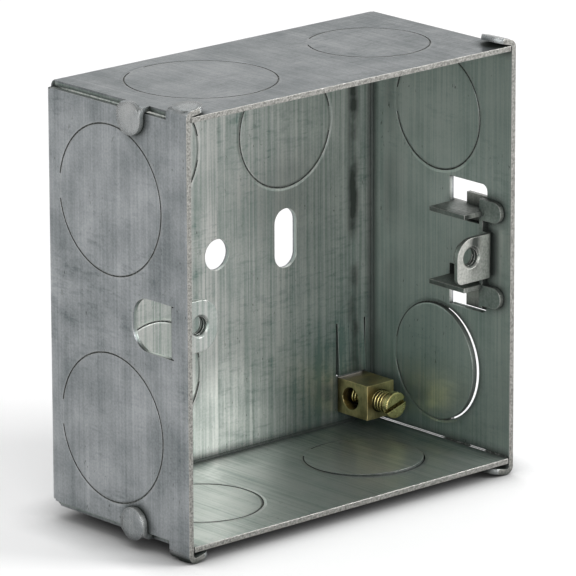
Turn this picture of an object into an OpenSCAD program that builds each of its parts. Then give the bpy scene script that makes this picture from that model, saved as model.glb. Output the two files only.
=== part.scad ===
// Flush back box for one wiring accessory, folded from one blank of galvanised sheet.
// It has knockouts in five sides, a fixed lug, a sliding lug and an earth terminal.
// Millimetres. The origin is the middle of the outer face of the back.
// X runs to the right, Z up and Y into the building wall. The open front is at -Y.

/* [Box] */
// Width over the side walls
box_w = 72.5; // [72:0.5:90]
// Height over the top and bottom walls
box_h = 72.5; // [72:0.5:90]
// Depth from the back to the front edge
box_d = 35; // [35:0.5:50]
// Thickness of the sheet
sheet_t = 0.9; // [0.7:0.1:1.2]
// Inside radius of every bend in the sheet
bend_r = 0.5; // [0.4:0.1:0.8]
// Space left at each corner between the end of a wall and the next wall
seam_gap = 0.2; // [0.2:0.1:0.5]

/* [Corner laps] */
// Width of the round-ended tongues that lap the left wall
tongue_w = 5.6; // [4:0.2:7]
// How far a tongue reaches along the left wall
tongue_reach = 5; // [4.6:0.2:7]
// Distance from the front edge to the middle of a tongue
tongue_set_back = 13; // [11:0.5:16]
// Width of the ears at the front corners
ear_w = 5; // [4:0.2:6]
// How far an ear reaches along the top or bottom wall
ear_reach = 4.8; // [4.4:0.2:7]
// Rounding of the corners of an ear
ear_round = 2.2; // [1:0.2:2.4]
// How far the upper left ear springs up from the top wall, in degrees
left_ear_spring = 8; // [0:8:8]
// How far the upper right ear springs up from the top wall, in degrees
right_ear_spring = 15; // [13:2:15]
// Extra length of the side walls before the two lower ears turn under
ear_hang = 0.8; // [0.7:0.1:1]
// How far the two lower ears are bent past square, in degrees
ear_over_bend = 11; // [11:2:13]
// Gap between a lap and the wall that it covers
lap_gap = 0.15; // [0.1:0.05:0.2]

/* [Knockouts] */
// Diameter of the large knockouts, for 25 mm conduit
large_knockout_d = 25.4; // [24:0.2:26]
// Diameter of the small knockouts, for 20 mm conduit
small_knockout_d = 20.7; // [19:0.2:21.4]
// Width of the sheared ring around a knockout
knockout_gap = 0.25; // [0.15:0.05:0.4]
// Width of the tie that still holds a knockout
knockout_tie = 4.2; // [2:0.2:5]
// Distance from the bend at the back to the left knockouts
left_knockout_margin = 2; // [1.6:0.1:3]
// Distance of the left knockouts above and below the middle
left_knockout_z = 19.2; // [18:0.2:19.6]
// How far the top and right knockouts lie behind the middle of their walls
right_knockout_shift = 1; // [0:0.2:2]
// Distance of the right knockouts above and below the middle
right_knockout_z = 22; // [22:0.2:24]
// Distance from the left side to the middle of the large knockout in the top
top_large_knockout_in = 18.75; // [16:0.25:19]
// Distance from the right side to the middle of the small knockout in the top
top_small_knockout_in = 16.75; // [15:0.25:18]
// Distance from the left side to the middle of the left knockout in the bottom
bottom_left_knockout_in = 17.25; // [15:0.25:20]
// Distance from the right side to the middle of the right knockout in the bottom
bottom_right_knockout_in = 18.75; // [15:0.25:20]
// Place across the box of the two left knockouts in the back
back_left_knockout_x = -14.2; // [-20:0.2:-14]
// Place across the box of the right knockout and the slot in the back
back_right_knockout_x = 15.4; // [15:0.2:20]
// Distance of the back knockouts above and below the middle
back_knockout_z = 19.2; // [18:0.2:21]
// How far the loose lower knockout in the right wall is bent inwards, in degrees
loose_tilt = 3.2; // [0:0.2:5]
// How far the right knockout in the bottom is bent inwards, in degrees
slack_tilt = 1.2; // [0:0.2:3]

/* [Fixing holes in the back] */
// Diameter of the round hole
back_hole_d = 5.4; // [4:0.2:6]
// Place across the box of the round hole
back_hole_x = 0; // [-0.5:0.5:2]
// Width of the slot
back_slot_w = 4.9; // [4.2:0.1:6]
// Length of the slot, end to end
back_slot_l = 10.4; // [8:0.2:14]

/* [Fixing lugs] */
// Distance between the two screw holes that take the front plate
lug_pitch = 60.3; // [60:0.1:61]
// Distance from the front edge of the box to the front of both lugs
lug_set_back = 4; // [3.6:0.1:4.4]
// Width of the fixed lug
lug_w = 8.6; // [8:0.2:10]
// How far the tip of the fixed lug passes the middle of its hole
lug_tip = 3.8; // [3.4:0.1:4.2]
// Rounding of the tip of the fixed lug
lug_round = 3.6; // [3:0.2:3.8]
// Diameter of both threaded holes, at the middle of their threads
lug_bore_d = 3.3; // [3:0.1:3.5]
// Outside diameter of the collar drawn behind each hole
collar_d = 5; // [4.6:0.2:5.6]
// Depth of the collar behind its lug
collar_depth = 1; // [0.6:0.1:1.4]
// Depth of the rounded mouth of each threaded hole
bore_mouth = 0.3; // [0.2:0.1:0.4]
// Length of the opening that the fixed lug leaves in the wall
lug_window = 10.1; // [10:0.1:11]
// Gap cut around the fixed lug
lug_cut = 0.2; // [0.1:0.1:0.4]

/* [Sliding lug] */
// Height of the slot in the right wall
slot_h = 22.4; // [21.6:0.2:22.4]
// Width of the slot in the right wall
slot_w = 9.1; // [8.8:0.1:9.4]
// Distance from the front edge of the box to the front edge of the slot
slot_set_back = 5.7; // [5.6:0.1:6]
// Rounding of the two front corners of the slot
slot_round = 1.2; // [0.4:0.1:1.6]
// Height of the part of the wall that is left standing in the slot
slot_land_h = 8.2; // [7:0.2:8.2]
// Thickness of the lug's sheet
clip_t = 0.8; // [0.6:0.1:0.9]
// Inside radius of its bends
clip_bend_r = 0.3; // [0.2:0.1:0.4]
// Height of the sliding lug
clip_h = 19.8; // [19.4:0.2:20]
// Running gap between the sliding lug and the wall
clip_gap = 0.15; // [0.1:0.05:0.2]
// How far the middle of the web of the sliding lug lies below its screw hole
clip_drop = 1.1; // [0.9:0.1:1.2]
// Height of its two ears in front of the slot
clip_ear_h = 3.6; // [3.4:0.1:4]
// Distance between the middles of the two ears of the sliding lug
clip_ear_span = 14.9; // [14.4:0.1:15.2]
// How far the two ears lie below the hole of the sliding lug
clip_ear_drop = 0.4; // [0.2:0.1:0.6]
// How far the ears pass the front edge of the slot
clip_ear_l = 4.2; // [3:0.2:5]
// How far the step through the slot stops short of the top and bottom of the lug
clip_step_in = 1; // [1:0.1:1.6]
// Height over the two flanges that point into the box
flange_span = 13.5; // [13.1:0.1:13.8]
// How far a flange reaches in from the wall
flange_reach = 4.9; // [3:0.1:5.5]
// Distance from the front edge of the slot to the front of a flange
flange_set_back = 0.4; // [0.3:0.1:1]
// Width of the arms that show in the slot
clip_arm_w = 5.9; // [3:0.1:6.4]
// How far the lug's back tab laps the wall behind the slot
clip_tab = 1.6; // [1:0.2:3]
// Height of the plate with the threaded hole
clip_plate_h = 7.7; // [7.4:0.1:8]
// How far that plate hangs below the middle of its hole
clip_plate_drop = 0.5; // [0.3:0.1:0.6]
// How far the plate passes the middle of its hole, towards the middle of the box
clip_tip = 3.2; // [3:0.1:4]
// Rounding of the upper inner corner of the plate
clip_plate_round = 3.4; // [2:0.2:4]

/* [Earth terminal] */
// Space between the terminal and the right wall
terminal_side_gap = 1.9; // [1.6:0.1:2.4]
// Space between the terminal and the bottom wall
terminal_floor_gap = 2.2; // [1.6:0.1:3]
// Width and height of the brass block
terminal_w = 6.1; // [5.8:0.1:6.4]
// Length of the block from the back
terminal_l = 7.5; // [7:0.1:9]
// Diameter of the hole for the wire
wire_hole_d = 4; // [3:0.1:4.2]
// Distance from the inner face of the back to the middle of the wire hole
wire_hole_y = 3.3; // [3:0.1:3.6]
// Diameter of the spigot that is riveted through the back
spigot_d = 3; // [2:0.2:3.4]
// Diameter of the clamping screw over its threads
screw_d = 3.9; // [3:0.1:4]
// Diameter of the screw's head
screw_head_d = 4.6; // [4.4:0.1:5.2]
// Length of the screw's head
screw_head_l = 1; // [0.9:0.1:1.4]
// Diameter of the neck under the head
screw_neck_d = 3; // [2.4:0.1:3.2]
// Length of the neck under the head
screw_neck_l = 0.8; // [0.4:0.1:1]
// Clearance of the screw in its hole, on the radius
screw_gap = 0.08; // [0.05:0.01:0.1]
// Depth of the hole for the screw, past the wire hole
screw_hole_l = 6.3; // [6.3:0.1:6.6]
// How far the screw stands out of the block
screw_out = 4; // [3.8:0.1:5]
// How far the screw's tip stands in the wire hole
screw_in = 3.5; // [2:0.1:3.5]
// Width of the driver slot in the screw
driver_slot_w = 0.8; // [0.6:0.1:1]
// Depth of the driver slot
driver_slot_depth = 0.7; // [0.5:0.1:0.8]
// Turn of the driver slot from level, in degrees
driver_slot_turn = -17; // [-90:1:90]
// Length of the tongue cut in the back above the terminal
strap_l = 9.6; // [6:0.2:10]
// Gap cut around that tongue
strap_cut = 0.35; // [0.3:0.05:0.5]
// How far the tongue is bent into the box, in degrees
strap_tilt = 3; // [0:0.5:4]

/* [Hidden] */
$fn = 64;
over = 1;
RIGHT = 0;
TOP = -90;
LEFT = 180;
BOTTOM = 90;
outer_r = bend_r + sheet_t;
wall_inner_x = box_w / 2 - sheet_t;
wall_inner_z = box_h / 2 - sheet_t;
back_inner_y = -sheet_t;
flat_middle_y = (box_d + outer_r) / 2;
tongue_y = box_d - tongue_set_back;
ear_y = box_d - ear_w / 2;
left_knockout_y = outer_r + left_knockout_margin + large_knockout_d / 2;
right_knockout_y = flat_middle_y - right_knockout_shift;
lug_x = lug_pitch / 2;
lug_y = box_d - lug_set_back;
slot_y = box_d - slot_set_back;
terminal_x = wall_inner_x - terminal_side_gap - terminal_w / 2;
terminal_z = wall_inner_z - terminal_floor_gap - terminal_w / 2;
slot_front = -slot_y;
slot_back = slot_w - slot_y;
clip_outer_x = box_w / 2 + clip_gap;
clip_inner_x = wall_inner_x - clip_gap - clip_t;
clip_front = slot_front + clip_gap;
// Each knockout in a wall: wall, place along the wall, distance from the back,
// diameter, direction of its tie from the back, and bend inwards
WALL_KNOCKOUTS = [
    [LEFT, left_knockout_z, left_knockout_y, large_knockout_d, 0, 0],
    [LEFT, -left_knockout_z, left_knockout_y, large_knockout_d, 0, 0],
    [RIGHT, right_knockout_z, right_knockout_y, small_knockout_d, 0, 0],
    [RIGHT, -right_knockout_z, right_knockout_y, small_knockout_d, 0, loose_tilt],
    [TOP, top_large_knockout_in - box_w / 2, right_knockout_y, large_knockout_d, 17, 0],
    [TOP, box_w / 2 - top_small_knockout_in, right_knockout_y, small_knockout_d, 45, 0],
    [BOTTOM, bottom_left_knockout_in - box_w / 2, flat_middle_y, small_knockout_d, 0, 0],
    [BOTTOM, box_w / 2 - bottom_right_knockout_in, flat_middle_y, small_knockout_d, -30, slack_tilt],
];
BACK_KNOCKOUTS = [
    [back_left_knockout_x, back_knockout_z],
    [back_left_knockout_x, -back_knockout_z],
    [back_right_knockout_x, back_knockout_z],
];

// Distance from the middle of the box to the outer face of a wall
function half_across(turn) = (abs(sin(turn)) > 0.5 ? box_h : box_w) / 2;

// Half the length of a wall between the seams at its two ends
function half_along(turn) = half_across(turn + 90) - sheet_t - seam_gap;

// A place in the box, as a distance along a wall in that wall's own frame
function along_wall(turn, place) = turn == TOP || turn == LEFT ? -place : place;

// A wall's own frame: X points out of the box, Y is depth and Z runs along the wall
module on_wall(turn) {
    rotate([0, turn, 0]) children();
}

// Stands an outline on a wall's inner face: its X along the depth, its Y along the wall
module stand_on_wall(turn, y, along) {
    on_wall(turn) translate([half_across(turn) - sheet_t, y, along]) rotate([90, 0, 90]) children();
}

// Stands an outline on the inner face of the back, reaching out through it
module stand_on_back(x, z) {
    translate([x, back_inner_y, z]) rotate([90, 0, 0]) mirror([0, 0, 1]) children();
}

// Part of a tube around Z, from +X towards +Y
module round_bend(length, t, r, angle) {
    rotate_extrude(angle = angle) translate([r, -length / 2]) square([t, length]);
}

// A quarter of a tube around Z, from +X to +Y
module quarter_bend(length, t, r) {
    round_bend(length, t, r, 90);
}

// A tab that starts at X = 0 and ends with two rounded corners
module tab_outline(width, length, round_r) {
    r = min(round_r, width / 2 - 0.05);
    translate([0, -width / 2]) square([length - r, width]);
    translate([0, r - width / 2]) square([length, width - 2 * r]);
    for (side = [-1, 1]) {
        translate([length - r, side * (width / 2 - r)]) circle(r);
    }
}

// A slot outline with two round ends, upright
module slot_outline(width, length) {
    translate([-width / 2, (width - length) / 2]) square([width, length - width]);
    for (side = [-1, 1]) {
        translate([0, side * (length - width) / 2]) circle(d = width);
    }
}

// Distance from the middle of a knockout to the root of its tie
function tie_root(d) = sqrt(pow(d / 2, 2) - pow(knockout_tie / 2, 2));

// Removes the whole disc of a knockout, up to the root of its tie
module knockout_hole(d, tie_turn) {
    translate([0, 0, -over]) linear_extrude(sheet_t + 2 * over) rotate(tie_turn) difference() {
        circle(d = d);
        translate([tie_root(d), -knockout_tie / 2]) square([d, knockout_tie]);
    }
}

// The disc of a knockout with its tie, bent inwards about the root of the tie
module knockout_disc(d, tie_turn, tilt) {
    root = tie_root(d);
    rotate(tie_turn) translate([root, 0, sheet_t]) rotate([0, -tilt, 0]) translate([-root, 0, -sheet_t]) {
        linear_extrude(sheet_t) {
            circle(d = d - 2 * knockout_gap);
            translate([0, -knockout_tie / 2]) square([root, knockout_tie]);
        }
    }
}

// One wall with its bend into the back
module wall(turn) {
    out = half_across(turn);
    half = half_along(turn);
    bend_half = half_across(turn + 90) - outer_r;
    on_wall(turn) {
        translate([out - sheet_t, -box_d, -half]) cube([sheet_t, box_d - outer_r, 2 * half]);
        translate([out - outer_r, -outer_r, 0]) quarter_bend(2 * bend_half, sheet_t, bend_r);
    }
}

// The flat of the back, between the four bends
module back() {
    translate([outer_r - box_w / 2, -sheet_t, outer_r - box_h / 2])
        cube([box_w - 2 * outer_r, sheet_t, box_h - 2 * outer_r]);
}

// A lap at one end of a wall, folded over the wall beside it. It turns after a hang
// past that wall, and a spring leaves it short of square by that many degrees.
module corner_lap(turn, end, y, width, reach, round_r, hang, spring) {
    out = half_across(turn);
    bend_z = half_across(turn + 90) + lap_gap + hang - bend_r;
    start = half_along(turn);
    on_wall(turn) mirror([0, 0, end]) {
        translate([out - sheet_t, -y - width / 2, start]) cube([sheet_t, width, bend_z - start]);
        translate([out - outer_r, -y, bend_z]) {
            rotate([90, 0, 0]) round_bend(width, sheet_t, bend_r, 90 - spring);
            rotate([0, spring, 0]) translate([0, 0, bend_r]) mirror([1, 0, 0]) linear_extrude(sheet_t)
                tab_outline(width, reach - outer_r, round_r);
        }
    }
}

// Tongue that laps the left wall
module tongue(turn, end) {
    corner_lap(turn, end, tongue_y, tongue_w, tongue_reach, tongue_w / 2, 0, 0);
}

// Ear at a front corner
module ear(turn, end, hang, spring) {
    corner_lap(turn, end, ear_y, ear_w, ear_reach, ear_round, hang, spring);
}

// Drawn collar behind a lug's plate, on the lug's screw axis
module lug_collar(t) {
    translate([0, -lug_y, 0]) rotate([-90, 0, 0]) cylinder(d = collar_d, h = t + collar_depth);
}

// Threaded hole of a lug, with its rounded mouth at the front
module lug_bore(t) {
    translate([0, -lug_y, 0]) rotate([-90, 0, 0]) {
        translate([0, 0, -over]) cylinder(d = lug_bore_d, h = t + collar_depth + 2 * over);
        cylinder(d1 = lug_bore_d + 2 * bore_mouth, d2 = lug_bore_d, h = bore_mouth);
    }
}

// Opening that the fixed lug leaves in the left wall
module fixed_lug_window() {
    stand_on_wall(LEFT, -lug_y - bend_r, 0) translate([0, 0, -over]) linear_extrude(sheet_t + 2 * over)
        tab_outline(lug_w + 2 * lug_cut, lug_window, lug_round + lug_cut);
}

// Fixed lug: a tongue of the left wall, folded square into the box
module fixed_lug() {
    fold_x = wall_inner_x - bend_r;
    on_wall(LEFT) difference() {
        union() {
            translate([fold_x, -lug_y - bend_r, 0]) quarter_bend(lug_w, sheet_t, bend_r);
            translate([fold_x, sheet_t - lug_y, 0]) mirror([1, 0, 0]) rotate([90, 0, 0])
                linear_extrude(sheet_t) tab_outline(lug_w, fold_x - lug_x + lug_tip, lug_round);
            translate([lug_x, 0, 0]) lug_collar(sheet_t);
        }
        translate([lug_x, 0, 0]) lug_bore(sheet_t);
    }
}

// Slot in the right wall that the sliding lug runs in, shaped like a C around a land
module slide_slot() {
    land_w = slot_back - clip_front - clip_t - clip_gap;
    stand_on_wall(RIGHT, slot_back, 0) translate([0, 0, -over]) linear_extrude(sheet_t + 2 * over)
        difference() {
            mirror([1, 0]) tab_outline(slot_h, slot_w, slot_round);
            translate([-land_w, -slot_land_h / 2]) square([land_w + over, slot_land_h]);
        }
}

// Opening cut around the tongue above the terminal
module strap_window() {
    strap_w = terminal_w + strap_cut;
    bottom = terminal_w / 2 - terminal_z;
    translate([terminal_x - terminal_w / 2 - strap_cut, -sheet_t - over, bottom])
        cube([strap_w + strap_cut, sheet_t + 2 * over, strap_l]);
}

// Tongue of the back above the terminal, sprung slightly into the box
module strap() {
    top = terminal_w / 2 - terminal_z + strap_l;
    translate([terminal_x - terminal_w / 2, 0, top]) rotate([-strap_tilt, 0, 0])
        translate([0, -sheet_t, strap_cut - strap_l]) cube([terminal_w, sheet_t, strap_l - strap_cut]);
}

module box_shell() {
    color([0.55, 0.57, 0.57]) {
        difference() {
            union() {
                back();
                for (turn = [RIGHT, TOP, LEFT, BOTTOM]) wall(turn);
                tongue(TOP, 0);
                tongue(BOTTOM, 1);
                ear(LEFT, 1, 0, left_ear_spring);
                ear(RIGHT, 0, 0, right_ear_spring);
                ear(LEFT, 0, ear_hang, -ear_over_bend);
                ear(RIGHT, 1, ear_hang, -ear_over_bend);
            }
            for (k = WALL_KNOCKOUTS) {
                stand_on_wall(k[0], -k[2], along_wall(k[0], k[1])) knockout_hole(k[3], k[4]);
            }
            for (k = BACK_KNOCKOUTS) {
                stand_on_back(k[0], k[1]) knockout_hole(small_knockout_d, 0);
            }
            stand_on_back(back_hole_x, 0) translate([0, 0, -over])
                cylinder(d = back_hole_d, h = sheet_t + 2 * over);
            stand_on_back(back_right_knockout_x, 0) translate([0, 0, -over])
                linear_extrude(sheet_t + 2 * over) slot_outline(back_slot_w, back_slot_l);
            stand_on_back(terminal_x, -terminal_z) translate([0, 0, -over])
                cylinder(d = spigot_d, h = sheet_t + 2 * over);
            fixed_lug_window();
            slide_slot();
            strap_window();
        }
        for (k = WALL_KNOCKOUTS) {
            stand_on_wall(k[0], -k[2], along_wall(k[0], k[1])) knockout_disc(k[3], k[4], k[5]);
        }
        for (k = BACK_KNOCKOUTS) {
            stand_on_back(k[0], k[1]) knockout_disc(small_knockout_d, 0, 0);
        }
        fixed_lug();
        strap();
    }
}

// Outline of one ear of the sliding lug, standing in the slot and lapping the wall in front
module clip_ear() {
    length = clip_ear_l + clip_gap + clip_t;
    translate([clip_inner_x, clip_front + clip_t, clip_ear_span / 2]) rotate([90, 0, 90])
        mirror([1, 0, 0]) linear_extrude(clip_t) tab_outline(clip_ear_h, length, clip_ear_h / 2);
}

// Plate of the sliding lug, with its upper inner corner well rounded
module clip_plate() {
    fold_x = clip_inner_x - clip_bend_r;
    tip_x = lug_x - clip_tip;
    small_r = 1;
    translate([0, clip_t - lug_y, -clip_plate_drop]) rotate([90, 0, 0]) linear_extrude(clip_t) {
        translate([tip_x, small_r - clip_plate_h / 2])
            square([fold_x - tip_x, clip_plate_h - clip_plate_round - small_r]);
        translate([tip_x + clip_plate_round, -clip_plate_h / 2])
            square([fold_x - tip_x - clip_plate_round, clip_plate_h]);
        translate([tip_x + small_r, -clip_plate_h / 2])
            square([clip_plate_round, small_r]);
        translate([tip_x + small_r, small_r - clip_plate_h / 2]) circle(small_r);
        translate([tip_x + clip_plate_round, clip_plate_h / 2 - clip_plate_round]) circle(clip_plate_round);
    }
}

// Sliding lug: one folded piece. Its web and arms lie outside the wall, it steps in through
// the slot, and its ears and its plate stand inside, so that it can slide but not fall out.
module sliding_lug() {
    step_x = clip_outer_x + clip_t - clip_inner_x;
    flange_l = clip_outer_x + clip_t - wall_inner_x + flange_reach;
    flange_front = slot_front + flange_set_back;
    flange_back = slot_back - clip_gap;
    fold_y = clip_t + clip_bend_r - lug_y;
    color([0.62, 0.63, 0.62]) difference() {
        union() {
            translate([clip_outer_x, clip_front, -flange_span / 2])
                cube([clip_t, slot_back + clip_tab - clip_front, flange_span]);
            translate([clip_outer_x, clip_front, -clip_drop - clip_h / 2])
                cube([clip_t, clip_arm_w, clip_h]);
            translate([clip_inner_x, clip_front, clip_step_in - clip_drop - clip_h / 2])
                cube([step_x, clip_t, clip_h - 2 * clip_step_in]);
            translate([clip_inner_x, fold_y, -clip_plate_drop - clip_plate_h / 2])
                cube([clip_t, clip_front + clip_t - fold_y, clip_plate_h]);
            translate([clip_inner_x - clip_bend_r, fold_y, -clip_plate_drop]) mirror([0, 1, 0])
                quarter_bend(clip_plate_h, clip_t, clip_bend_r);
            clip_plate();
            translate([0, 0, -clip_ear_drop]) for (side = [0, 1]) mirror([0, 0, side]) clip_ear();
            for (side = [0, 1]) mirror([0, 0, side])
                translate([wall_inner_x - flange_reach, flange_front, flange_span / 2 - clip_t])
                    cube([flange_l, flange_back - flange_front, clip_t]);
            translate([lug_x, 0, 0]) lug_collar(clip_t);
        }
        translate([lug_x, 0, 0]) lug_bore(clip_t);
    }
}

// Brass block, riveted to the back by its spigot, bored for the wire and for the screw
module earth_terminal_block() {
    front_y = back_inner_y - terminal_l;
    wire_y = back_inner_y - wire_hole_y;
    color([0.62, 0.55, 0.3]) translate([terminal_x, 0, -terminal_z]) difference() {
        union() {
            translate([-terminal_w / 2, front_y, -terminal_w / 2]) cube([terminal_w, terminal_l, terminal_w]);
            translate([0, back_inner_y - over, 0]) rotate([-90, 0, 0])
                cylinder(d = spigot_d, h = sheet_t + over);
        }
        translate([0, wire_y, 0]) rotate([0, 90, 0])
            cylinder(d = wire_hole_d, h = terminal_w + 2 * over, center = true);
        translate([0, front_y - over, 0]) rotate([-90, 0, 0])
            cylinder(d = screw_d + 2 * screw_gap, h = screw_hole_l + over);
    }
}

// Slotted clamping screw, run in across most of the wire hole
module earth_terminal_screw() {
    out_y = back_inner_y - terminal_l - screw_out;
    tip_y = back_inner_y - wire_hole_y - wire_hole_d / 2 + screw_in;
    chamfer = 0.3;
    thread_start = screw_head_l + screw_neck_l;
    thread_end = tip_y - out_y - chamfer;
    color([0.7, 0.64, 0.38]) translate([terminal_x, out_y, -terminal_z]) rotate([-90, 0, 0]) difference() {
        union() {
            cylinder(d1 = screw_head_d - chamfer, d2 = screw_head_d, h = chamfer / 2);
            translate([0, 0, chamfer / 2]) cylinder(d = screw_head_d, h = screw_head_l - chamfer / 2);
            translate([0, 0, screw_head_l]) cylinder(d = screw_neck_d, h = screw_neck_l);
            translate([0, 0, thread_start]) cylinder(d = screw_d, h = thread_end - thread_start);
            translate([0, 0, thread_end]) cylinder(d1 = screw_d, d2 = screw_d - 2 * chamfer, h = chamfer);
        }
        rotate(driver_slot_turn) translate([-screw_head_d, -driver_slot_w / 2, -over])
            cube([2 * screw_head_d, driver_slot_w, driver_slot_depth + over]);
    }
}

box_shell();
sliding_lug();
earth_terminal_block();
earth_terminal_screw();
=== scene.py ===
import math

import bmesh
import bpy
from mathutils import Matrix, Vector


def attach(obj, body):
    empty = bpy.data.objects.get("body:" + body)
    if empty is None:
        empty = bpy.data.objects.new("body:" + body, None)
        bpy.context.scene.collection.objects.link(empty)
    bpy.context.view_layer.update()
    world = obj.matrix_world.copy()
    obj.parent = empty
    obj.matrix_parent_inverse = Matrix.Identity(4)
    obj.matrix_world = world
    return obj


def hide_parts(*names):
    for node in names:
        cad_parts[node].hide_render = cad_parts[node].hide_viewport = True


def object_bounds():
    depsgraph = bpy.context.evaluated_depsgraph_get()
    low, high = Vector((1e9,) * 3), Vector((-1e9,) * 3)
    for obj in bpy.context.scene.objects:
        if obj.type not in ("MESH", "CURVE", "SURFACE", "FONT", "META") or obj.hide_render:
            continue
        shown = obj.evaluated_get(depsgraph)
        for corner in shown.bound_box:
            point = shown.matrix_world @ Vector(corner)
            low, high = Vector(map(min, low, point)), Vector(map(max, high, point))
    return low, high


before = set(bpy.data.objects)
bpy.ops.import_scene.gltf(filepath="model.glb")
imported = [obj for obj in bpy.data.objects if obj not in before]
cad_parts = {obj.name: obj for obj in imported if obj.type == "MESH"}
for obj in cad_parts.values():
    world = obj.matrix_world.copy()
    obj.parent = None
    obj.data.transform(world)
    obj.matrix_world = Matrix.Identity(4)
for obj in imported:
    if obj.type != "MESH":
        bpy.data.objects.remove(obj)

MM = 0.001
cad_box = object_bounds()

# Box
# One blank of hot-dip galvanised sheet, pierced, folded and lapped at the corners.
# The zinc keeps the straight lines of the rolling mill, and the sheared edges are bright.

# The inside colours are lighter than the outside ones, partly as the sheet's own tone and partly as painted light
# that stands in for light reaching the inside.
INSIDE_LIGHT = (0.465, 0.46, 0.442)
# A painted shade tint: inner walls that face sideways or up turn greener, for the shade that falls on them.
SHADED_SIDE_GREEN = (0.255, 0.35, 0.315)
INSIDE_DARK = (0.115, 0.165, 0.147)
OUTSIDE_LIGHT = (0.37, 0.385, 0.395)
OUTSIDE_DARK = (0.115, 0.135, 0.14)
# Colour of lightened edges and lapped tongues, partly wear and partly painted highlight.
EDGE_WEAR_AND_SHEEN = (0.50, 0.495, 0.47)
SHEARED_LIGHT = (0.33, 0.325, 0.305)
SHEARED_DARK = (0.11, 0.11, 0.10)
SHEET_SPECK = (0.05, 0.055, 0.05)
# Near black for painted shade in inner corners and bends.
PAINTED_CORNER_SHADE = (0.035, 0.042, 0.038)
STAIN_X = 31.0
DOME = 1.7
BOX_HALF = 36.25
BOX_DEPTH = 35.0
SHEET_T = 0.9
INNER_BEND = 0.45
KNOCKOUT_GAP = 0.25
# Knockouts in the side walls: wall, place along the wall, distance from the back, radius
WALL_KNOCKOUTS = [
    ("left", 19.2, 16.1, 12.7), ("left", -19.2, 16.1, 12.7),
    ("right", 22.0, 17.2, 10.35), ("right", -22.0, 17.2, 10.35),
    ("top", -17.5, 17.2, 12.7), ("top", 19.5, 17.2, 10.35),
    ("bottom", -19.0, 18.2, 10.35), ("bottom", 17.5, 18.2, 10.35)]
# Knockouts in the back: places across and up
BACK_KNOCKOUTS = [(-14.2, 19.2), (-14.2, -19.2), (15.4, 19.2)]
BACK_KNOCKOUT_RADIUS = 10.35


def add_node(tree, kind, inputs=(), **settings):
    """Adds one node, sets its properties, and fills its inputs with values or links."""
    made = tree.nodes.new(kind)
    for key, value in settings.items():
        setattr(made, key, value)
    for key, value in dict(inputs).items():
        if isinstance(value, bpy.types.NodeSocket):
            tree.links.new(value, made.inputs[key])
        else:
            made.inputs[key].default_value = value
    return made


def calculate(tree, operation, first, second=0.0):
    """One step of arithmetic on numbers or sockets."""
    return add_node(tree, "ShaderNodeMath", {0: first, 1: second}, operation=operation).outputs[0]


def blend_colours(tree, share, first, second):
    """A mix of two colours; each may be a socket or three numbers."""
    mixed = add_node(tree, "ShaderNodeMix", {"Factor": share}, data_type="RGBA")
    for socket, colour in zip((mixed.inputs[6], mixed.inputs[7]), (first, second)):
        if isinstance(colour, bpy.types.NodeSocket):
            tree.links.new(colour, socket)
        else:
            socket.default_value = (*colour, 1.0)
    return mixed.outputs[2]


def stretch(tree, value, low, high, new_low=0.0, new_high=1.0):
    """Maps a value from one range to another, and stops at the ends."""
    inputs = {"Value": value, "From Min": low, "From Max": high, "To Min": new_low, "To Max": new_high}
    return add_node(tree, "ShaderNodeMapRange", inputs, clamp=True).outputs["Result"]


def noise(tree, vector, scale, detail=3.0, roughness=0.55):
    """Smooth noise, from about 0.3 to 0.7."""
    inputs = {"Vector": vector, "Scale": scale, "Detail": detail, "Roughness": roughness}
    return add_node(tree, "ShaderNodeTexNoise", inputs).outputs["Fac"]


def new_group(name, inputs, outputs):
    """An empty shader group with named number sockets."""
    tree = bpy.data.node_groups.new(name, "ShaderNodeTree")
    for socket_name, value in inputs:
        socket = tree.interface.new_socket(socket_name, in_out="INPUT", socket_type="NodeSocketFloat")
        socket.default_value = value
    for socket_name in outputs:
        tree.interface.new_socket(socket_name, in_out="OUTPUT", socket_type="NodeSocketFloat")
    return tree, tree.nodes.new("NodeGroupInput"), tree.nodes.new("NodeGroupOutput")


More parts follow.
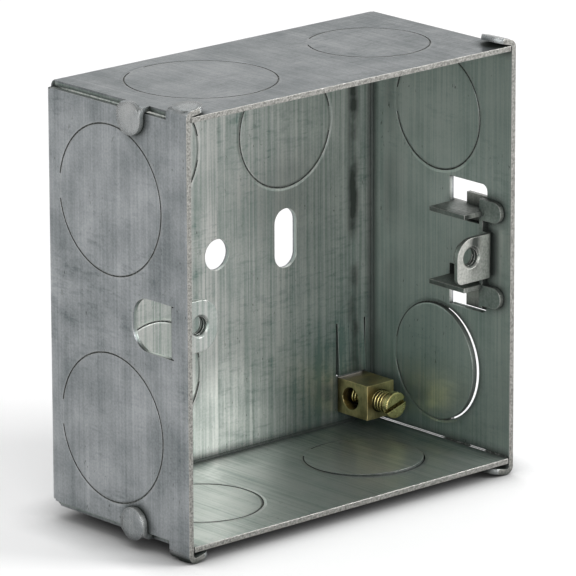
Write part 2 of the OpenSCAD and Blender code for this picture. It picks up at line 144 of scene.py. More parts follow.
def rolled_metal():
    """Straight lines of a rolled sheet: upright on upright walls, front to back on level ones."""
    tree, given, result = new_group(
        "rolled_metal", [("Lines per mm", 1.0)],
        ["Lines", "Bands", "Patches", "Grain", "Specks", "Smudges", "Height", "Outside", "Front edge",
         "Lapped", "Bend shade", "Low corner shade", "X", "Y", "Z", "Side", "Level"])
    place = add_node(tree, "ShaderNodeTexCoord")
    where = add_node(tree, "ShaderNodeSeparateXYZ", {0: place.outputs["Object"]})
    facing = add_node(tree, "ShaderNodeSeparateXYZ", {0: place.outputs["Normal"]})
    x, y, z = (calculate(tree, "MULTIPLY", where.outputs[i], 1 / MM) for i in range(3))
    side = calculate(tree, "GREATER_THAN", calculate(tree, "ABSOLUTE", facing.outputs[0]), 0.7)
    level = calculate(tree, "GREATER_THAN", calculate(tree, "ABSOLUTE", facing.outputs[2]), 0.7)
    across = add_node(tree, "ShaderNodeMix", {"Factor": side, "A": x, "B": y}).outputs[0]
    along = add_node(tree, "ShaderNodeMix", {"Factor": level, "A": z, "B": y}).outputs[0]
    which = calculate(tree, "SIGN", add_node(
        tree, "ShaderNodeMix", {"Factor": level, "A": x, "B": z}).outputs[0])
    wall = calculate(tree, "MULTIPLY_ADD", which, 9.0)

    def lines(width, length, detail):
        fine = calculate(tree, "MULTIPLY", across, given.outputs[0])
        vector = add_node(tree, "ShaderNodeCombineXYZ", {
            0: calculate(tree, "DIVIDE", fine, width),
            1: calculate(tree, "DIVIDE", along, length),
            2: wall})
        return noise(tree, vector.outputs[0], 1.0, detail, 0.65)

    flat = add_node(tree, "ShaderNodeCombineXYZ", {0: across, 1: along, 2: wall}).outputs[0]
    long = add_node(tree, "ShaderNodeMapping", {"Vector": flat, "Scale": (2.2, 0.8, 1.0)}).outputs[0]
    clusters = stretch(tree, noise(tree, flat, 0.09, 1.0), 0.45, 0.62)
    reach = calculate(tree, "MAXIMUM", calculate(tree, "ABSOLUTE", x), calculate(tree, "ABSOLUTE", z))
    outer_wall = calculate(tree, "GREATER_THAN", reach, BOX_HALF - 0.35)
    outer_back = calculate(tree, "GREATER_THAN", y, -0.35)
    outside = calculate(tree, "MAXIMUM", outer_wall, outer_back)
    # Inner bends along the back, darkened later as painted shade.
    near_wall = calculate(tree, "GREATER_THAN", reach, BOX_HALF - SHEET_T - INNER_BEND)
    near_back = calculate(tree, "GREATER_THAN", y, -SHEET_T - INNER_BEND)
    bend = calculate(tree, "MULTIPLY", near_wall, near_back)
    rubbed = add_node(tree, "ShaderNodeMapping", {"Vector": flat, "Scale": (0.35, 1.3, 1.0)}).outputs[0]
    handled = stretch(tree, noise(tree, flat, 0.055, 1.0), 0.42, 0.6)
    # Distance from the low right corner by the earth terminal, which darkens the inside there as painted shade and
    # painted dark reflection.
    in_the_corner = add_node(tree, "ShaderNodeVectorMath", {
        0: place.outputs["Object"], 1: (0.034, -0.008, -0.034)}, operation="DISTANCE").outputs["Value"]
    fine_lines = lines(0.45, 40.0, 3.0)
    hair_lines = lines(0.12, 9.0, 2.0)
    front = calculate(tree, "LESS_THAN", y, 0.07 - BOX_DEPTH)
    lapped = calculate(tree, "GREATER_THAN", reach, BOX_HALF + 0.3)
    outputs = {
        "Lines": stretch(tree, fine_lines, 0.37, 0.63),
        "Bands": stretch(tree, lines(3.5, 120.0, 2.0), 0.35, 0.65),
        "Patches": stretch(tree, noise(tree, flat, 0.12, 4.0), 0.35, 0.65),
        "Grain": stretch(tree, noise(tree, flat, 2.6, 2.0), 0.3, 0.7),
        "Specks": calculate(tree, "MULTIPLY", stretch(tree, noise(tree, long, 1.0, 2.0), 0.68, 0.74), clusters),
        "Smudges": calculate(tree, "MULTIPLY", stretch(tree, noise(tree, rubbed, 1.0, 4.0), 0.52, 0.66), handled),
        "Height": calculate(tree, "MULTIPLY_ADD", hair_lines, 0.35),
        "Outside": outside,
        "Lapped": calculate(tree, "MULTIPLY", lapped, calculate(tree, "SUBTRACT", 1.0, front)),
        "Bend shade": calculate(tree, "MULTIPLY", bend, calculate(tree, "SUBTRACT", 1.0, outside)),
        "Front edge": front,
        "Low corner shade": stretch(tree, in_the_corner, 0.004, 0.026, 1.0, 0.0),
        "X": x, "Y": y, "Z": z, "Side": side, "Level": level}
    tree.links.new(fine_lines, outputs["Height"].node.inputs[2])
    for name, socket in outputs.items():
        tree.links.new(socket, result.inputs[name])
    return tree


def sheared_disc():
    """The pressed rim of a knockout: a step at its radius, and the disc inside it."""
    tree, given, result = new_group(
        "sheared_disc",
        [("Across", 0.0), ("Along", 0.0), ("Middle across", 0.0), ("Middle along", 0.0),
         ("Radius", 10.0), ("On this wall", 1.0)],
        ["Rim", "Disc"])
    sides = [calculate(tree, "SUBTRACT", given.outputs[i], given.outputs[i + 2]) for i in range(2)]
    squares = [calculate(tree, "MULTIPLY", side, side) for side in sides]
    distance = calculate(tree, "SQRT", calculate(tree, "ADD", *squares))
    past = calculate(tree, "SUBTRACT", distance, given.outputs["Radius"])
    rim = stretch(tree, calculate(tree, "ABSOLUTE", past), 0.1, 0.5, 1.0, 0.0)
    disc = stretch(tree, past, -0.5, -0.1, 1.0, 0.0)
    for name, mask in (("Rim", rim), ("Disc", disc)):
        tree.links.new(calculate(tree, "MULTIPLY", mask, given.outputs["On this wall"]), result.inputs[name])
    return tree


rolled_metal_group = rolled_metal()
sheared_disc_group = sheared_disc()


def knockout_masks(tree, rolled):
    """Adds up the rims and the discs of all the knockouts."""
    x, y, z = (rolled.outputs[name] for name in "XYZ")
    side, level = rolled.outputs["Side"], rolled.outputs["Level"]
    upright = calculate(tree, "SUBTRACT", 1.0, calculate(tree, "ADD", side, level))
    positive = {name: calculate(tree, "GREATER_THAN", socket, 0.0) for name, socket in (("x", x), ("z", z))}
    walls = {
        "right": calculate(tree, "MULTIPLY", side, positive["x"]),
        "top": calculate(tree, "MULTIPLY", level, positive["z"])}
    walls["left"] = calculate(tree, "SUBTRACT", side, walls["right"])
    walls["bottom"] = calculate(tree, "SUBTRACT", level, walls["top"])
    rows = [(walls[wall], z if wall in ("left", "right") else x, along, y, -depth, radius)
            for wall, along, depth, radius in WALL_KNOCKOUTS]
    rows += [(upright, x, across, z, up, BACK_KNOCKOUT_RADIUS) for across, up in BACK_KNOCKOUTS]
    sums = {"Rim": None, "Disc": None}
    for wall, first, middle, second, other_middle, radius in rows:
        disc = add_node(tree, "ShaderNodeGroup", node_tree=sheared_disc_group)
        for name, value in (("Across", first), ("Along", second), ("On this wall", wall)):
            tree.links.new(value, disc.inputs[name])
        for name, value in (("Middle across", middle), ("Middle along", other_middle), ("Radius", radius)):
            disc.inputs[name].default_value = value
        for name, so_far in sums.items():
            socket = disc.outputs[name]
            sums[name] = socket if so_far is None else calculate(tree, "ADD", so_far, socket)
    return sums["Rim"], sums["Disc"]


def edge_wear_sheen_and_shade(tree, radius):
    """Masks of outer edges, for wear and painted highlight, and of painted shade in inner corners, with a normal
    that rounds both.
    """
    rounded = add_node(tree, "ShaderNodeBevel", {"Radius": radius * MM}, samples=4)
    flat = add_node(tree, "ShaderNodeNewGeometry")
    same = add_node(tree, "ShaderNodeVectorMath", {
        0: rounded.outputs[0], 1: flat.outputs["True Normal"]}, operation="DOT_PRODUCT")
    sky = add_node(tree, "ShaderNodeAmbientOcclusion", {"Distance": 2.0 * MM}, samples=6)
    openness = stretch(tree, sky.outputs["AO"], 0.72, 0.95)
    turned = stretch(tree, same.outputs["Value"], 0.97, 0.85)
    wear_and_sheen = calculate(tree, "MULTIPLY", turned, openness)
    shade = stretch(tree, sky.outputs["AO"], 0.5, 0.95)
    normal = add_node(tree, "ShaderNodeMix", {
        "Factor": openness, 4: flat.outputs["Normal"], 5: rounded.outputs[0]}, data_type="VECTOR").outputs[1]
    return wear_and_sheen, shade, normal


def weighted(tree, rolled, shares):
    """A sum of the rolled metal's masks, each times its share."""
    total = None
    for part, share in shares:
        step = calculate(tree, "MULTIPLY", rolled.outputs[part], share)
        total = step if total is None else calculate(tree, "ADD", total, step)
    return total


def sheet_material(name, inner, outer, shares, lines_per_mm, wear_and_sheen_share, knockouts):
    """Rolled and plated sheet: lines in its colour and height, edges lightened partly by wear and partly as painted
    highlight, and inner corners with painted shade and a rougher finish.
    """
    material = bpy.data.materials.new(name)
    material.use_nodes = True
    tree = material.node_tree
    tree.nodes.clear()
    rolled = add_node(tree, "ShaderNodeGroup", node_tree=rolled_metal_group)
    rolled.inputs["Lines per mm"].default_value = lines_per_mm
    inside = weighted(tree, rolled, shares)
    outside = weighted(tree, rolled, (
        ("Lines", 0.2), ("Bands", 0.16), ("Patches", 0.44), ("Grain", 0.24), ("Smudges", -0.22)))
    tone = add_node(tree, "ShaderNodeMix", {
        "Factor": rolled.outputs["Outside"], "A": inside, "B": outside}).outputs[0]
    height = calculate(tree, "ADD", rolled.outputs["Height"], calculate(tree, "MULTIPLY", rolled.outputs["Patches"], 0.8))
    if knockouts:
        rim, disc = knockout_masks(tree, rolled)
        tone = calculate(tree, "ADD", tone, calculate(tree, "MULTIPLY", disc, 0.08))
        tone = calculate(tree, "ADD", tone, calculate(tree, "MULTIPLY", rim, 0.12))
        height = calculate(tree, "SUBTRACT", height, calculate(tree, "MULTIPLY", rim, 3.0))
    # Faces turned sideways or up take a green tint as painted shade.
    painted_green_by_facing = weighted(tree, rolled, (("Side", 0.46), ("Level", 0.22)) if knockouts else (("Side", 0.3),))
    within = blend_colours(tree, painted_green_by_facing, blend_colours(tree, tone, *inner), SHADED_SIDE_GREEN)
    # Level outside faces, the top above all, darken towards a dimmer outside colour as painted shade.
    without = blend_colours(tree, calculate(tree, "MULTIPLY", rolled.outputs["Level"], 0.62),
                            blend_colours(tree, tone, *outer), tuple(0.55 * c for c in outer[0]))
    colour = blend_colours(tree, rolled.outputs["Outside"], within, without)
    colour = blend_colours(tree, calculate(tree, "MULTIPLY", rolled.outputs["Specks"], 0.8), colour, SHEET_SPECK)
    off_band = calculate(tree, "ABSOLUTE", calculate(tree, "SUBTRACT", rolled.outputs["X"], STAIN_X))
    stain = calculate(tree, "MULTIPLY", stretch(tree, off_band, 0.3, 1.8, 1.3, 0.0), rolled.outputs["Patches"])
    stain = calculate(tree, "MULTIPLY", stain, calculate(
        tree, "SUBTRACT", 1.0, calculate(tree, "MAXIMUM", rolled.outputs["Level"], rolled.outputs["Outside"])))
    colour = blend_colours(tree, stain, colour, SHEET_SPECK)
    sheared = blend_colours(tree, rolled.outputs["Grain"], SHEARED_DARK, SHEARED_LIGHT)
    colour = blend_colours(tree, rolled.outputs["Front edge"], colour, sheared)
    wear_and_sheen, shade, rounded = edge_wear_sheen_and_shade(tree, 0.2)
    lapped = rolled.outputs["Lapped"]
    # Lapped tongues lighten in patches, partly as rubbing and partly as painted highlight; outer edges lighten
    # partly as wear and partly as painted highlight.
    rub_and_sheen = calculate(tree, "MULTIPLY", lapped, rolled.outputs["Patches"])
    colour = blend_colours(tree, calculate(tree, "MULTIPLY", rub_and_sheen, 0.35), colour, EDGE_WEAR_AND_SHEEN)
    colour = blend_colours(tree, calculate(tree, "MULTIPLY", wear_and_sheen, wear_and_sheen_share), colour, EDGE_WEAR_AND_SHEEN)
    domed = add_node(tree, "ShaderNodeBevel", {"Radius": DOME * MM}, samples=6)
    rounded = add_node(tree, "ShaderNodeMix", {
        "Factor": lapped, 4: rounded, 5: domed.outputs[0]}, data_type="VECTOR").outputs[1]
    # Inner corners and bends darken towards near black as painted shade.
    shade = calculate(tree, "SUBTRACT", shade, calculate(tree, "MULTIPLY", rolled.outputs["Bend shade"], 0.55))
    colour = blend_colours(tree, shade, PAINTED_CORNER_SHADE, colour)
    gloss = stretch(tree, tone, 0.15, 0.85, 0.46, 0.28)
    gloss = calculate(tree, "SUBTRACT", gloss, calculate(tree, "MULTIPLY", lapped, 0.1))
    dull = stretch(tree, shade, 0.0, 1.0, 0.45, 0.0)
    relief = add_node(tree, "ShaderNodeBump", {
        "Height": height, "Distance": 0.05 * MM, "Strength": 0.6, "Normal": rounded})
    shader = add_node(tree, "ShaderNodeBsdfPrincipled", {
        "Base Color": colour,
        "Metallic": 0.8,
        "Roughness": calculate(tree, "ADD", gloss, dull),
        "Normal": relief.outputs[0]})
    add_node(tree, "ShaderNodeOutputMaterial", {"Surface": shader.outputs[0]})
    return material


def dress(piece, material):
    """Gives a piece one material."""
    piece.data.materials.clear()
    piece.data.materials.append(material)


# Inside, walls that face sideways or up are lighter as painted light, and the low corner by the terminal is darker
# as painted shade.
sheet = sheet_material("galvanised_sheet", (INSIDE_DARK, INSIDE_LIGHT), (OUTSIDE_DARK, OUTSIDE_LIGHT), (
    ("Lines", 0.44), ("Bands", 0.24), ("Patches", 0.26), ("Grain", 0.14), ("Smudges", -0.2), ("Low corner shade", -0.62),
    ("Side", 0.2), ("Level", 0.26)), 1.0, 0.5, True)
dress(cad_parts["box_shell"], sheet)

# Shear burrs
# The press leaves each knockout held by a torn burr, halfway through the sheet; its near-black colour is painted
# shade of the narrow gap.

BURR_HEIGHT = 0.72
BURR_SHADED_DARK = (0.05, 0.055, 0.05)
BURR_BRIGHT = (0.2, 0.21, 0.2)
FACING = {"left": (0, 90, 0), "right": (0, 90, 0), "top": (0, 0, 0), "bottom": (0, 0, 0), "back": (90, 0, 0)}
# The two knockouts that are bent inwards keep their burr at the rear only: start and sweep of the arc
BENT_IN = [("right", -22.0), ("bottom", 17.5)]
REAR_ARC = (-20.0, 215.0)


def group_inputs(tree, sockets):
    """Adds named inputs to a geometry tree, and gives its two ends."""
    kinds = {float: "NodeSocketFloat", int: "NodeSocketInt", str: "NodeSocketMaterial", bool: "NodeSocketBool"}
    for name, value in sockets:
        socket = tree.interface.new_socket(name, in_out="INPUT", socket_type=kinds[type(value)])
        if not isinstance(value, str):
            socket.default_value = value
    tree.interface.new_socket("Mesh", in_out="OUTPUT", socket_type="NodeSocketGeometry")
    return tree.nodes.new("NodeGroupInput"), tree.nodes.new("NodeGroupOutput")


def finish_tree(tree, geometry, metal, result):
    """Ends a geometry tree: real meshes in one material."""
    real = add_node(tree, "GeometryNodeRealizeInstances", {0: geometry})
    painted = add_node(tree, "GeometryNodeSetMaterial", {"Geometry": real.outputs[0], "Material": metal})
    tree.links.new(painted.outputs[0], result.inputs[0])
    return tree


def ring_tree():
    """A flat ring of square section at each point, turned by the point's own facing."""
    tree = bpy.data.node_groups.new("shear_burr_rings", "GeometryNodeTree")
    tree.interface.new_socket("Places", in_out="INPUT", socket_type="NodeSocketGeometry")
    given, result = group_inputs(tree, [
        ("Radius", 10.0), ("Width", 0.3), ("Height", 0.4), ("Steps", 96), ("Whole", True),
        ("Start", 0.0), ("Sweep", 1.0), ("Metal", "")])
    circle = add_node(tree, "GeometryNodeCurvePrimitiveCircle", {
        "Resolution": given.outputs["Steps"], "Radius": given.outputs["Radius"]})
    arc = add_node(tree, "GeometryNodeCurveArc", {
        "Resolution": given.outputs["Steps"], "Radius": given.outputs["Radius"],
        "Start Angle": given.outputs["Start"], "Sweep Angle": given.outputs["Sweep"]})
    path = add_node(tree, "GeometryNodeSwitch", {
        "Switch": given.outputs["Whole"], "False": arc.outputs[0], "True": circle.outputs[0]}, input_type="GEOMETRY")
    section = add_node(tree, "GeometryNodeCurvePrimitiveQuadrilateral", {
        "Width": given.outputs["Width"], "Height": given.outputs["Height"]})
    ring = add_node(tree, "GeometryNodeCurveToMesh", {
        "Curve": path.outputs[0], "Profile Curve": section.outputs[0], "Fill Caps": True})
    facing = add_node(tree, "GeometryNodeInputNamedAttribute", {"Name": "facing"}, data_type="FLOAT_VECTOR")
    turn = add_node(tree, "FunctionNodeEulerToRotation", {0: facing.outputs[0]})
    rings = add_node(tree, "GeometryNodeInstanceOnPoints", {
        "Points": given.outputs["Places"], "Instance": ring.outputs[0], "Rotation": turn.outputs[0]})
    return finish_tree(tree, rings.outputs[0], given.outputs["Metal"], result)


def grown(name, tree, start, values):
    """The mesh that a geometry tree makes from a start mesh and named values."""
    holder = bpy.data.objects.new(name + "_start", start)
    bpy.context.collection.objects.link(holder)
    modifier = holder.modifiers.new(name, "NODES")
    modifier.node_group = tree
    for item in tree.interface.items_tree:
        if item.item_type == "SOCKET" and item.in_out == "INPUT" and item.name in values:
            modifier[item.identifier] = values[item.name]
    seen = holder.evaluated_get(bpy.context.evaluated_depsgraph_get())
    mesh = bpy.data.meshes.new_from_object(seen)
    bpy.data.objects.remove(holder)
    mesh.name = name
    return mesh


def outward(mesh):
    """Turns every face of a closed mesh outwards."""
    shape = bmesh.new()
    shape.from_mesh(mesh)
    bmesh.ops.recalc_face_normals(shape, faces=shape.faces)
    shape.to_mesh(mesh)
    shape.free()


def piece_of(name, mesh):
    """An object at the origin that shows a mesh."""
    piece = bpy.data.objects.new(name, mesh)
    bpy.context.collection.objects.link(piece)
    return piece


def knockout_place(wall, along, depth):
    """The middle of a wall's knockout, halfway through the sheet."""
    middle = BOX_HALF - SHEET_T / 2
    sideways = {"left": (-middle, along), "right": (middle, along),
                "top": (along, middle), "bottom": (along, -middle)}
    across, up = sideways[wall]
    return Vector((across, -depth, up)) * MM


def burr_material():
    """Torn metal, matt and coloured dark as painted shade of its narrow gap, with brighter flecks."""
    material = bpy.data.materials.new("torn_burr")
    material.use_nodes = True
    tree = material.node_tree
    tree.nodes.clear()
    place = add_node(tree, "ShaderNodeTexCoord")
    flecks = stretch(tree, noise(tree, place.outputs["Object"], 2.2 / MM, 3.0), 0.45, 0.7)
    colour = blend_colours(tree, flecks, BURR_SHADED_DARK, BURR_BRIGHT)
    relief = add_node(tree, "ShaderNodeBump", {"Height": flecks, "Distance": 0.04 * MM, "Strength": 0.5})
    shader = add_node(tree, "ShaderNodeBsdfPrincipled", {
        "Base Color": colour, "Metallic": 0.6, "Roughness": stretch(tree, flecks, 0.0, 1.0, 0.7, 0.5),
        "Normal": relief.outputs[0]})
    add_node(tree, "ShaderNodeOutputMaterial", {"Surface": shader.outputs[0]})
    return material


torn = burr_material()
shear_burr_rings = ring_tree()
rows = [(radius, (wall, along) not in BENT_IN, wall, knockout_place(wall, along, depth))
        for wall, along, depth, radius in WALL_KNOCKOUTS]
rows += [(BACK_KNOCKOUT_RADIUS, True, "back", Vector((across, -SHEET_T / 2, up)) * MM)
         for across, up in BACK_KNOCKOUTS]
for size, whole in sorted({row[:2] for row in rows}):
    chosen = [row[2:] for row in rows if row[:2] == (size, whole)]
    points = bpy.data.meshes.new("knockout_middles")
    points.from_pydata([place for wall, place in chosen], [], [])
    facings = points.attributes.new("facing", "FLOAT_VECTOR", "POINT")
    for i, (wall, place) in enumerate(chosen):
        facings.data[i].vector = [math.radians(turn) for turn in FACING[wall]]
    rings = grown("shear_burrs", shear_burr_rings, points, {
        "Radius": (size - KNOCKOUT_GAP / 2) * MM, "Width": (KNOCKOUT_GAP + 0.04) * MM,
        "Height": BURR_HEIGHT * MM, "Steps": 96, "Whole": whole, "Metal": torn,
        "Start": math.radians(REAR_ARC[0]), "Sweep": math.radians(REAR_ARC[1])})
    outward(rings)
    burrs = piece_of(f"shear_burrs_{round(2 * size)}mm" + ("" if whole else "_bent_in"), rings)
    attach(burrs, "box")

# Zinc in the corner seam
# The walls only meet at the corners, and a run of zinc from the bath part closes the seam
# at the lower right, where light shows through the rest.

SEAM_MIDDLE = 35.25
# Distance from the back and half width of the run, from the back to the front
ZINC_RUN = [(1.8, 0.05), (2.2, 0.08), (6.0, 0.075), (12.0, 0.085), (18.8, 0.08), (19.6, 0.15), (22.0, 0.17),
            (25.2, 0.15), (25.9, 0.08), (29.0, 0.08), (29.6, 0.15), (32.0, 0.17), (34.6, 0.14), (34.8, 0.08)]


def lathe(outline, steps):
    """Turns an outline of (radius, distance) about the Y axis into a closed mesh."""
    shape = bmesh.new()
    rings = []
    for radius, distance in outline:
        corners = 1 if radius == 0 else steps
        rings.append([shape.verts.new((radius * MM * math.cos(2 * math.pi * i / steps), distance * MM,
                                       radius * MM * math.sin(2 * math.pi * i / steps)))
                      for i in range(corners)])
    for near, far in zip(rings, rings[1:]):
        for i in range(steps):
            j = (i + 1) % steps
            corners = [near[i % len(near)], near[j % len(near)], far[j % len(far)], far[i % len(far)]]
            shape.faces.new(list(dict.fromkeys(corners)))
    bmesh.ops.recalc_face_normals(shape, faces=shape.faces)
    mesh = bpy.data.meshes.new("turned")
    shape.to_mesh(mesh)
    shape.free()
    return mesh


run = [(0, -ZINC_RUN[0][0])] + [(width, -distance) for distance, width in ZINC_RUN] + [(0, -ZINC_RUN[-1][0])]
zinc_mesh = lathe(run, 12)
zinc_mesh.transform(Matrix.Translation(Vector((SEAM_MIDDLE, 0, -SEAM_MIDDLE)) * MM))
zinc = piece_of("zinc_in_seam", zinc_mesh)
# The run takes the burr's dark colour, painted shade of the seam.
dress(zinc, torn)
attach(zinc, "box")

# A bead of zinc also lines the lower end of the slot: place across, along and up, and its size
BEAD_X = 36.0
BEAD_Z = -11.2
BEAD_R = 0.22
BEAD_FRONT = -28.8
BEAD_BACK = -20.6
bead_mesh = lathe([(0, BEAD_FRONT), (BEAD_R, BEAD_FRONT + 0.2), (BEAD_R, BEAD_BACK - 0.2), (0, BEAD_BACK)], 12)
bead_mesh.transform(Matrix.Translation(Vector((BEAD_X, 0, BEAD_Z)) * MM))
bead = piece_of("zinc_in_slot", bead_mesh)
dress(bead, sheet)
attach(bead, "box")

# Threads of the lugs
# Each lug's hole is drawn into a collar and tapped M3.5, so its bore shows fine ridges.

LUG_PITCH_HALF = 30.15
LUG_FACE_Y = -31.0
LUG_BORE_R = 1.65


def ridge_tree():
    """A ridge of three-sided section that winds along a screw axis."""
    tree = bpy.data.node_groups.new("thread_ridge", "GeometryNodeTree")
    given, result = group_inputs(tree, [
        ("Radius", 1.0), ("Pitch", 1.0), ("Turns", 1.0), ("Depth", 1.0), ("Steps", 32),
        ("Facing", 0.0), ("Metal", "")])
    height = calculate(tree, "MULTIPLY", given.outputs["Pitch"], given.outputs["Turns"])
    path = add_node(tree, "GeometryNodeCurveSpiral", {
        "Resolution": given.outputs["Steps"], "Rotations": given.outputs["Turns"],
        "Start Radius": given.outputs["Radius"], "End Radius": given.outputs["Radius"],
        "Height": height})
    upright = add_node(tree, "GeometryNodeSetCurveNormal", {"Curve": path.outputs[0]}, mode="Z_UP")
    section = add_node(tree, "GeometryNodeCurvePrimitiveCircle", {
        "Resolution": 3, "Radius": given.outputs["Depth"]})
    turn = add_node(tree, "ShaderNodeCombineXYZ", {2: given.outputs["Facing"]})
    turned = add_node(tree, "GeometryNodeTransform", {
        "Geometry": section.outputs[0], "Rotation": turn.outputs[0]})
    ridge = add_node(tree, "GeometryNodeCurveToMesh", {
        "Curve": upright.outputs[0], "Profile Curve": turned.outputs[0], "Fill Caps": True})
    return finish_tree(tree, ridge.outputs[0], given.outputs["Metal"], result)


thread_ridge = ridge_tree()


def wound_ridge(name, place, radius, pitch, turns, depth, facing, metal):
    """A thread's ridge that winds from a place towards the back."""
    mesh = grown(name, thread_ridge, bpy.data.meshes.new(name), {
        "Radius": radius * MM, "Pitch": pitch * MM, "Turns": turns, "Depth": depth * MM,
        "Steps": 40, "Facing": facing, "Metal": metal})
    mesh.transform(Matrix.Translation(Vector(place) * MM) @ Matrix.Rotation(math.radians(-90), 4, "X"))
    outward(mesh)
    return piece_of(name, mesh)


LUG_LIGHT = (0.50, 0.50, 0.465)
LUG_DARK = (0.14, 0.155, 0.143)

# Faces that turn up or sideways are darker as painted shade, so the front plate stands out lighter; edges take the
# full share of wear and painted highlight.
lug_sheet = sheet_material("plated_strip", (LUG_DARK, LUG_LIGHT), (LUG_DARK, LUG_LIGHT), (
    ("Lines", 0.12), ("Bands", 0.18), ("Patches", 0.35), ("Grain", 0.4), ("Level", -0.5), ("Side", -0.3)),
    1.6, 1.0, False)
fixed_thread = wound_ridge("fixed_lug_thread", (-LUG_PITCH_HALF, LUG_FACE_Y + 0.35, 0.0),
                           LUG_BORE_R, 0.6, 2.2, 0.2, math.pi, sheet)
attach(fixed_thread, "box")
sliding_thread = wound_ridge("sliding_lug_thread", (LUG_PITCH_HALF, LUG_FACE_Y + 0.35, 0.0),
                             LUG_BORE_R, 0.6, 2.0, 0.2, math.pi, lug_sheet)
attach(sliding_thread, "lug")

# Sliding lug
# A clip folded from thinner strip, which slides in the slot of the right wall.

dress(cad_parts["sliding_lug"], lug_sheet)

# Earth terminal
# A piece of drawn square brass bar, drilled across for the wire and tapped for its screw.

BRASS_LIGHT = (0.66, 0.54, 0.26)
BRASS_DARK = (0.27, 0.225, 0.11)


def brass_material(name, light, dark, rough):
    """Dulled brass with fine draw lines and darker patches, edges lightened partly by wear and partly as painted
    highlight, and painted shade in inner corners.
    """
    material = bpy.data.materials.new(name)
    material.use_nodes = True
    tree = material.node_tree
    tree.nodes.clear()
    place = add_node(tree, "ShaderNodeTexCoord")
    drawn = add_node(tree, "ShaderNodeMapping", {"Vector": place.outputs["Object"], "Scale": (8.0, 8.0, 0.6)})
    patches = noise(tree, place.outputs["Object"], 0.5 / MM, 4.0)
    grain = noise(tree, drawn.outputs[0], 1.0 / MM, 2.0)
    tone = calculate(tree, "ADD", calculate(tree, "MULTIPLY", stretch(tree, patches, 0.35, 0.65), 0.6),
                     calculate(tree, "MULTIPLY", stretch(tree, grain, 0.35, 0.65), 0.4))
    colour = blend_colours(tree, tone, dark, light)
    wear_and_sheen, shade, rounded = edge_wear_sheen_and_shade(tree, 0.15)
    # Edges lighten partly as wear and partly as painted highlight, and inner corners darken as painted shade.
    colour = blend_colours(tree, calculate(tree, "MULTIPLY", wear_and_sheen, 0.6), colour, tuple(1.5 * c for c in light))
    colour = blend_colours(tree, shade, tuple(0.35 * c for c in dark), colour)
    relief = add_node(tree, "ShaderNodeBump", {
        "Height": grain, "Distance": 0.03 * MM, "Strength": 0.5, "Normal": rounded})
    shader = add_node(tree, "ShaderNodeBsdfPrincipled", {
        "Base Color": colour, "Metallic": 1.0,
        "Roughness": stretch(tree, patches, 0.3, 0.7, rough - 0.06, rough + 0.08),
        "Normal": relief.outputs[0]})
    add_node(tree, "ShaderNodeOutputMaterial", {"Surface": shader.outputs[0]})
    return material


dress(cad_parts["earth_terminal_block"], brass_material("drawn_brass", BRASS_LIGHT, BRASS_DARK, 0.36))

# Clamping screw
# An M4 brass screw turned from bar: slotted head, relieved neck and rolled thread.

SCREW_X = 30.4
SCREW_Z = -30.1
SCREW_HEAD_Y = -12.4
SCREW_TIP_Y = -2.7
HEAD_R = 2.3
HEAD_L = 1.0
NECK_R = 1.5
NECK_L = 0.8
CORE_R = 1.6
THREAD_R = 1.95
THREAD_PITCH = 0.7
DRIVER_SLOT = (0.8, 0.7)
DRIVER_TURN = -17.0

screw_metal = brass_material("turned_brass", (0.66, 0.58, 0.27), (0.40, 0.34, 0.14), 0.26)


screw_length = SCREW_TIP_Y - SCREW_HEAD_Y
outline = [(0, 0), (HEAD_R - 0.18, 0), (HEAD_R - 0.05, 0.05), (HEAD_R, 0.18), (HEAD_R, HEAD_L - 0.12),
           (HEAD_R - 0.12, HEAD_L), (NECK_R + 0.1, HEAD_L), (NECK_R, HEAD_L + 0.1),
           (NECK_R, HEAD_L + NECK_L - 0.05), (CORE_R, HEAD_L + NECK_L + 0.1),
           (CORE_R, screw_length - 0.3), (CORE_R - 0.35, screw_length), (0, screw_length)]
screw = piece_of("clamping_screw", lathe(outline, 72))
cutter_mesh = bpy.data.meshes.new("driver_slot")
cutter_shape = bmesh.new()
bmesh.ops.create_cube(cutter_shape, size=1.0)
slot_w, slot_depth = DRIVER_SLOT
cutter_shape.transform(Matrix.Rotation(math.radians(DRIVER_TURN), 4, "Y") @ Matrix.Diagonal(
    (6 * MM, 2 * slot_depth * MM, slot_w * MM, 1)))
cutter_shape.to_mesh(cutter_mesh)
cutter_shape.free()
cutter = bpy.data.objects.new("driver_slot", cutter_mesh)
bpy.context.collection.objects.link(cutter)
cut = screw.modifiers.new("driver_slot", "BOOLEAN")
cut.object = cutter
cut.solver = "EXACT"
cut_mesh = bpy.data.meshes.new_from_object(screw.evaluated_get(bpy.context.evaluated_depsgraph_get()))
screw.modifiers.clear()
bpy.data.objects.remove(cutter)
cut_mesh.transform(Matrix.Translation(Vector((SCREW_X, SCREW_HEAD_Y, SCREW_Z)) * MM))
screw.data = cut_mesh
dress(screw, screw_metal)
thread_turns = (screw_length - HEAD_L - NECK_L - 0.35) / THREAD_PITCH
thread = wound_ridge("clamping_screw_thread", (SCREW_X, SCREW_HEAD_Y + HEAD_L + NECK_L + 0.1, SCREW_Z),
                     CORE_R + 0.09, THREAD_PITCH, thread_turns, THREAD_R - CORE_R - 0.09, 0.0, screw_metal)
for piece in (screw, thread):
    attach(piece, "clamp_screw")
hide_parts("earth_terminal_screw")

# Studio
# A white sweep under one soft key from the front right, which keeps the box's shadow; a contact shadow around the
# box is painted into the floor's colour and glow.

FLOOR_SIZE = 6.0
CONTACT_SHADOW = 10.0
floor_z = cad_box[0][2]


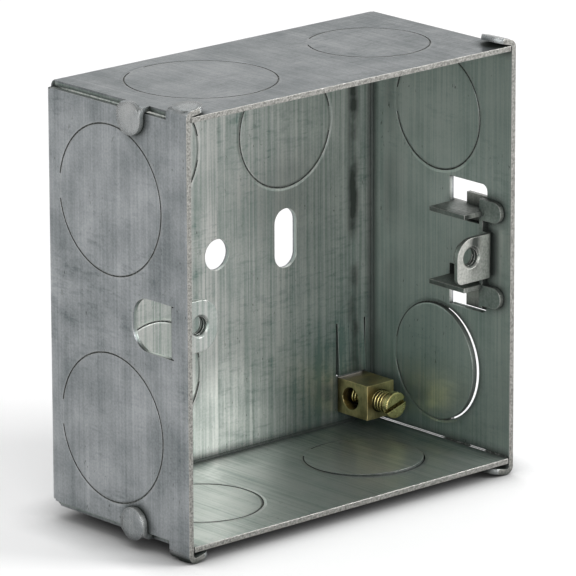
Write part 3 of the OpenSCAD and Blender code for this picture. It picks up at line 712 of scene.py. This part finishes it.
def white_to_the_eye(tree, seen, unseen):
    """A strength of seen for what the camera and reflections look at, and unseen for light."""
    path = add_node(tree, "ShaderNodeLightPath")
    looked_at = calculate(tree, "MAXIMUM", path.outputs["Is Camera Ray"], path.outputs["Is Glossy Ray"])
    looked_at = calculate(tree, "MAXIMUM", looked_at, path.outputs["Is Transmission Ray"])
    return add_node(tree, "ShaderNodeMix", {"Factor": looked_at, "A": unseen, "B": seen}).outputs[0]


bpy.ops.mesh.primitive_plane_add(size=FLOOR_SIZE, location=(0, 0, floor_z))
floor = bpy.context.object
floor.name = "floor"
floor_paint = bpy.data.materials.new("white_sweep")
floor_paint.use_nodes = True
floor_tree = floor_paint.node_tree
floor_tree.nodes.clear()
# A painted contact shadow: ambient occlusion darkens the floor's colour and its glow near the box.
near = add_node(floor_tree, "ShaderNodeAmbientOcclusion", {"Distance": CONTACT_SHADOW * MM}, samples=8)
open_floor = calculate(floor_tree, "POWER", near.outputs["AO"], 1.4)
matt = add_node(floor_tree, "ShaderNodeBsdfDiffuse", {
    "Color": blend_colours(floor_tree, open_floor, (0.1, 0.1, 0.1), (0.8, 0.8, 0.8))})
glow = add_node(floor_tree, "ShaderNodeEmission", {
    "Strength": calculate(floor_tree, "MULTIPLY", open_floor, white_to_the_eye(floor_tree, 0.25, 0.0))})
both = add_node(floor_tree, "ShaderNodeAddShader", {0: matt.outputs[0], 1: glow.outputs[0]})
add_node(floor_tree, "ShaderNodeOutputMaterial", {"Surface": both.outputs[0]})
floor.data.materials.append(floor_paint)

world = bpy.data.worlds.new("studio")
bpy.context.scene.world = world
world.use_nodes = True
world.node_tree.nodes.clear()
sky = add_node(world.node_tree, "ShaderNodeBackground", {
    "Color": (1, 1, 1, 1), "Strength": white_to_the_eye(world.node_tree, 1.0, 0.55)})
add_node(world.node_tree, "ShaderNodeOutputWorld", {"Surface": sky.outputs[0]})


def soft_box(name, azimuth, elevation, distance, size, power):
    """A square soft light that looks at the middle of the box."""
    turn, rise = math.radians(azimuth), math.radians(elevation)
    away = Vector((math.sin(turn) * math.cos(rise), -math.cos(turn) * math.cos(rise), math.sin(rise)))
    data = bpy.data.lights.new(name, "AREA")
    data.shape = "SQUARE"
    data.size = size
    data.energy = power
    lamp = bpy.data.objects.new(name, data)
    bpy.context.collection.objects.link(lamp)
    lamp.location = away * distance
    lamp.rotation_euler = away.to_track_quat("Z", "Y").to_euler()
    return lamp


soft_box("key", 43, 24, 0.9, 0.4, 6.5)
soft_box("front", -38, 16, 1.0, 0.6, 5.0)
soft_box("back", 155, 48, 1.0, 0.5, 1.5)

# Camera
# The angle and lens of the photograph, fitted to the corners and holes of the box.

AZIMUTH = math.radians(-41.993)
ELEVATION = math.radians(15.985)
ROLL = math.radians(-0.186)
DISTANCE = 1036.66 * MM
ASIDE = 12.487 * MM
ABOVE = -5.747 * MM
PICTURE = 576
FOCAL_PIXELS = 6189.6
SENSOR = 36.0

back = Vector((math.sin(AZIMUTH) * math.cos(ELEVATION), -math.cos(AZIMUTH) * math.cos(ELEVATION),
               math.sin(ELEVATION)))
level_right = Vector((0, 0, 1)).cross(back).normalized()
level_up = back.cross(level_right)
right = level_right * math.cos(ROLL) + level_up * math.sin(ROLL)
up = level_up * math.cos(ROLL) - level_right * math.sin(ROLL)
eye = right * ASIDE + up * ABOVE + back * DISTANCE
camera_data = bpy.data.cameras.new("camera")
camera_data.sensor_width = SENSOR
camera_data.lens = FOCAL_PIXELS * SENSOR / PICTURE
camera_data.clip_end = 20
camera = bpy.data.objects.new("camera", camera_data)
bpy.context.collection.objects.link(camera)
camera.matrix_world = Matrix((
    (right.x, up.x, back.x, eye.x),
    (right.y, up.y, back.y, eye.y),
    (right.z, up.z, back.z, eye.z),
    (0, 0, 0, 1)))
bpy.context.scene.camera = camera
bpy.context.scene.view_settings.view_transform = "Standard"
